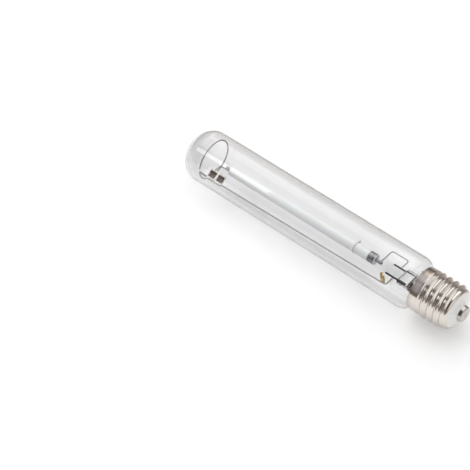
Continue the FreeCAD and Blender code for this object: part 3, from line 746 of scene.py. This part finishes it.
# Cap shell: the outside runs from the rim to the lip of the turned-in end, and the inside runs back. The
# thread adds height * (0.5 + 0.5 cos(2 pi phase)) ^ crestCurve to the radius, where the phase grows along
# the axis and falls round it, so a crest climbs one pitch each turn. It fades at both ends of the barrel.
def capGrid():
    outside = shellOutside()
    inside = np.vstack([arc(capEndCentre, cap["endRadius"] - cap["sheet"], 0, 90, capSteps["innerEnd"]),
                        (-cap["skirtEnd"], cap["root"] - cap["sheet"]),
                        (-cap["skirtEnd"] - cap["innerStep"], cap["skirt"] - cap["sheet"])])
    profile = np.vstack([outside, inside])
    angle = fullTurn(cap["sides"])
    x = np.repeat(profile[:, :1], cap["sides"], axis=1)
    radius = np.repeat(profile[:, 1:], cap["sides"], axis=1)
    phase = (x + cap["lastCrest"]) / cap["pitch"] - (np.degrees(angle) - cap["crestAngle"]) / 360
    wave = (0.5 + 0.5 * np.cos(2 * np.pi * phase)) ** cap["crestCurve"]
    fadeIn = smoothStep(-cap["skirtEnd"], -cap["skirtEnd"] + cap["fadeIn"], x)
    fadeOut = smoothStep(*cap["fadeOut"], -x)
    threaded = np.maximum(radius, cap["root"] + fadeIn * fadeOut * wave * (crestRadius - cap["root"]))
    onOutside = (np.arange(len(profile)) < len(outside))[:, None]
    onBarrel = onOutside & (x > -cap["skirtEnd"]) & (x <= -cap["endStart"])
    radius = np.where(onBarrel, threaded, radius)
    return np.stack([x, radius * np.cos(angle), radius * np.sin(angle)], axis=-1)


addGrid("capShell", capGrid(), nickelPlate, "cap_nickel", "cap_shell", closed=True, sharp=60)

# Insulator: it fills the shell's end from inside, and slopes from the shell's lip to the contact.
contactHeight, contactRadius = nodeSpan("centre_contact")[1:]
contact = {"taper": 0.5, "edge": 1.3, "lip": 0.15, "crease": 0.1, "fold": 0.5, "sheet": 0.6, "hole": 1.3,
           "leadHole": 0.6, "sides": 144}
insulator = {"back": nodeSpan("cap_insulator")[1], "bend": 2.0, "sides": 192,
             "slope": [(7.0, capEndCentre[1]), (6.2, 12.2), (5.4, 8.6)]}
contactInside = contactRadius - contact["sheet"]
boreEdge = cap["sheet"] + clearance
plateau = contact["sheet"] + clearance
insulatorSlope = rounded([(-place, radius) for place, radius in insulator["slope"]]
                         + [(-contactHeight, contactRadius)], insulator["bend"])
insulatorProfile = np.vstack([
    [(-insulator["back"], contact["leadHole"]), (-insulator["back"], cap["root"] - boreEdge)],
    arc(capEndCentre, cap["endRadius"] - boreEdge, 90, 0, capSteps["innerEnd"]), insulatorSlope,
    [(-contactHeight, contactInside - clearance), (-plateau, contactInside - clearance),
     (-plateau, contact["leadHole"])]])
addGrid("capInsulator", turnedGrid(insulatorProfile, insulator["sides"]), opaques["white glazed insulator"],
        "cap_insulator_white", "cap_insulator", closed=True)

# Contact: a drawn cup, a little narrower at its face, with a hole for the lead.
contactProfile = rounded([(0, contact["hole"]), (0, contactRadius - contact["taper"]),
                          (-contactHeight, contactRadius), (-contactHeight, contactInside),
                          (-contact["sheet"], contactInside), (-contact["sheet"], contact["hole"])],
                         [contact[bend] for bend in ("crease", "edge", "lip", "crease", "fold", "crease")],
                         steps=8, closed=True)
addGrid("centreContact", turnedGrid(contactProfile, contact["sides"]), metals["contact"], "contact_metal",
        "centre_contact", closed=True)

# Solder in the contact's hole. Its face is highest in the middle, just under the contact's, and falls by
# dimple * share^2 towards the hole's edge.
blob = {"dimple": 0.12, "radius": contact["hole"] - clearance, "steps": 10, "sides": 48}
blobShare = np.linspace(0, 1, blob["steps"])
blobFace = np.column_stack([-clearance - blob["dimple"] * blobShare ** 2, blobShare * blob["radius"]])
blobProfile = np.vstack([blobFace, [(-contact["sheet"], blob["radius"]), (-contact["sheet"], 0)]])
addGrid("contactSolder", turnedGrid(blobProfile, blob["sides"]), metals["solder"], "solder_grey",
        "contact_solder")

cement = {"near": 35.6, "far": 42.75, "inner": 16.85, "outer": 18.52, "sag": 0.25, "edge": 0.3,
          "sides": 144}
cementProfile = rounded([(-cement["near"], cement["inner"]), (-cement["near"], cement["outer"]),
                         (-cement["far"], cement["outer"]),
                         (cement["sag"] - cement["far"], cement["inner"])],
                        [0, 0, cement["edge"], cement["edge"]], steps=5, closed=True)
addGrid("capCement", turnedGrid(cementProfile, cement["sides"]), opaques["baked cement"], "cement",
        "cap_cement", closed=True)

# Side lead: out between the neck and the skirt, then over the rim at the solder.
sideLead = {"radius": 0.25, "start": 36.7, "beside": 18.5, "rim": 43.75, "end": 19.7, "bend": 0.3}
leadPath = rounded([(-sideLead["start"], 0, sideLead["beside"]), (-sideLead["rim"], 0, sideLead["beside"]),
                    (-sideLead["rim"], 0, sideLead["end"])], [0, sideLead["bend"], 0])
addGrid("sideLead", wireGrid(leadPath, sideLead["radius"], alongY, sides=16), metals["frame wire"],
        "frame_wire", "side_lead")

# Solder bead on the skirt: oval, and its height falls as (1 - share^2) ^ curve from its middle to its edge.
bead = {"place": 42.3, "radius": 1.9, "length": 0.58, "height": 1.1, "curve": 0.7, "sunk": 0.05,
        "base": 0.1, "steps": 12, "sides": 48}
beadShare = np.linspace(0, 1, bead["steps"])[:, None]
beadAngle = fullTurn(bead["sides"])
beadX = -bead["place"] + bead["radius"] * beadShare * np.cos(beadAngle) * bead["length"]
beadY = bead["radius"] * beadShare * np.sin(beadAngle)
beadSkin = np.sqrt(cap["rim"] ** 2 - beadY ** 2)
beadRise = bead["height"] * (1 - beadShare ** 2) ** bead["curve"] - bead["sunk"]
beadTop = np.stack([beadX, beadY, beadSkin + beadRise], axis=-1)
beadBottom = np.stack([beadX, beadY, beadSkin - bead["base"]], axis=-1)[::-1]
addGrid("sideSolder", np.vstack([beadTop, beadBottom]), metals["solder"], "solder_grey", "side_solder")

# CAD nodes that keep their own shape and only get a finish.
for node, finish in (("exhaust_tube", glasses["stem glass"]), ("contact_lead", metals["frame wire"]),
                     ("near_electrode", metals["tungsten"]), ("far_electrode", metals["tungsten"])):
    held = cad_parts[node]
    held.data.materials.clear()
    held.data.materials.append(finish)


print("floor, light and camera")
floor = {"half": 1.5, "light": grey(0.9), "dark": grey(0.88), "patches": 40.0, "glow": 0.2,
         "behind": (0.03, 0.12), "brown": rgba(0.38, 0.355, 0.335), "brownGlow": rgba(0.42, 0.39, 0.37)}
quarters = ((-1, -1), (1, -1), (1, 1), (-1, 1))
floorCorners = [(x * floor["half"], y * floor["half"], -bulbRadius * mm) for x, y in quarters]
floorMesh = bpy.data.meshes.new("floor")
floorMesh.from_pydata(floorCorners, [], [(0, 1, 2, 3)])
floorPiece = bpy.data.objects.new("floor", floorMesh)
bpy.context.scene.collection.objects.link(floorPiece)

# Pale floor that glows a little, so that its shadows stay light. Mirrors see it brown behind the lamp.
paper = Surface("pale floor", {"Roughness": 0.95, "Emission Strength": floor["glow"],
                               "Specular IOR Level": 0.0})
mirroredRay = paper.add("ShaderNodeLightPath", output="Glossy Depth").clamped()
behind = paper.axes(paper.place())[1].ramp(*floor["behind"]) * mirroredRay
pale = paper.mix(paper.noise(floor["patches"]), floor["light"], floor["dark"])
paper.set("Base Color", paper.mix(behind, pale, floor["brown"]))
paper.set("Emission Color", paper.mix(behind, grey(1), floor["brownGlow"]))
floorPiece.data.materials.append(paper.material)

# Soft studio. The camera, and rays that only passed through glass, see white, and matt surfaces see an even
# level. Mirrors see a room: a dark camera side with dim beams, a bright window behind the lamp with a brown
# sill, a brown side and corner, a pale end, and a pillar that is grey, then gold, with dark ends.
sky = {"camera": grey(1.0), "matt": grey(0.62), "dark": rgba(0.05, 0.04, 0.033),
       "beam": rgba(0.3, 0.275, 0.25), "window": rgba(1.42, 1.41, 1.39), "sill": rgba(0.30, 0.26, 0.23),
       "side": rgba(0.24, 0.215, 0.2), "corner": rgba(0.25, 0.225, 0.205), "end": rgba(1.05, 1.03, 1.0),
       "pillar": rgba(0.42, 0.39, 0.42), "gold": rgba(0.75, 0.62, 0.46), "foot": rgba(0.11, 0.085, 0.07)}
beams = {"scale": 7.0, "stops": (0.5, 0.62)}
backStart = (-0.25, 0.02)  # y of the direction, where the window side takes over from the camera side
lowBack = (0.8, 0.9)  # y where the sill takes over from the window
# Parts of the room and of the pillar: the axis, where each part starts and is full along it, and its colour.
roomParts = (("x", -0.5, -0.66, "side"), ("x", 0.22, 0.38, "corner"), ("x", 0.55, 0.7, "end"),
             ("z", 0.3, 0.16, "sill"))
pillarParts = (("y", 0.45, 0.52, "gold"), ("y", 0.68, 0.76, "foot"), ("y", -0.8, -0.9, "foot"))
pillarPlace = {"x": -0.43, "edge": (0.06, 0.04)}


# A colour covered by the parts in turn, each one over those before it.
def covered(colour, parts):
    for axis, start, full, part in parts:
        colour = studio.mix(toward[axis].ramp(start, full), colour, sky[part])
    return colour


world = bpy.data.worlds.new("studio")
bpy.context.scene.world = world
world.use_nodes = True
studio = Finish(world.node_tree)
direction = studio.add("ShaderNodeTexCoord", output="Generated")
toward = dict(zip("xyz", studio.axes(direction)))
beamed = studio.noise(beams["scale"], detail=2.0, vector=direction).ramp(*beams["stops"])
cameraSide = studio.mix(beamed, sky["dark"], sky["beam"])
backSide = studio.mix(toward["y"].ramp(*lowBack), sky["window"], sky["sill"])
room = covered(studio.mix(toward["y"].ramp(*backStart), cameraSide, backSide), roomParts)
onPillar = (toward["x"] - pillarPlace["x"]).size().ramp(*pillarPlace["edge"])
mirrored = studio.mix(onPillar, room, covered(sky["pillar"], pillarParts))
path = studio.add("ShaderNodeLightPath", output="Is Camera Ray")
rays = {name: Value(studio, path.socket.node.outputs[name])
        for name in ("Is Transmission Ray", "Glossy Depth", "Diffuse Depth")}
straight = (1.0 - rays["Glossy Depth"] - rays["Diffuse Depth"]).clamped()
seen = studio.mix(rays["Glossy Depth"].clamped(), sky["matt"], mirrored)
white = (path + rays["Is Transmission Ray"] * straight).clamped()
background = world.node_tree.nodes["Background"]
studio.feed(background.inputs["Color"], studio.mix(white, seen, sky["camera"]))

softLamps = {
    "key": {"place": (-0.9, 0.5, 1.6), "target": (-0.14, 0.0, 0.0), "width": 2.0, "height": 2.0,
            "power": 16.0, "mirrored": False},
    "strip": {"place": (-1.6, -1.0, 1.5), "target": (-1.6, 0.0, 0.0), "width": 1.1, "height": 0.55,
              "power": 5.0, "mirrored": True},
}


# The turn that points something's -Z in a direction and keeps its Y up.
def facing(direction):
    return Vector(direction).to_track_quat("-Z", "Y").to_euler()


# A soft lamp that looks at a point: its place and size are in metres and its power in watts. Mirrors show it
# only where mirrored is true.
def addSoftLamp(name, place, target, width, height, power, mirrored):
    light = bpy.data.lights.new(name, "AREA")
    light.shape = "RECTANGLE"
    light.size = width
    light.size_y = height
    light.energy = power
    holder = bpy.data.objects.new(name, light)
    holder.location = place
    holder.rotation_euler = facing(Vector(target) - Vector(place))
    holder.visible_glossy = mirrored
    bpy.context.scene.collection.objects.link(holder)


for name, settings in softLamps.items():
    addSoftLamp(name, **settings)

# The focal length and the frame are in pixels of the photograph, and the sensor in millimetres.
camera = {"place": (0.56608, -0.93554, 1.28319), "toward": (-0.43729, 0.50964, -0.74098), "focal": 2149.5,
          "frame": 470, "sensor": 36.0}
view = bpy.data.cameras.new("camera")
view.sensor_width = camera["sensor"]
view.lens = camera["focal"] / camera["frame"] * camera["sensor"]
viewer = bpy.data.objects.new("camera", view)
viewer.location = camera["place"]
viewer.rotation_euler = facing(camera["toward"])
bpy.context.scene.collection.objects.link(viewer)
bpy.context.scene.camera = viewer
bpy.context.scene.view_settings.view_transform = "Standard"

print("done")
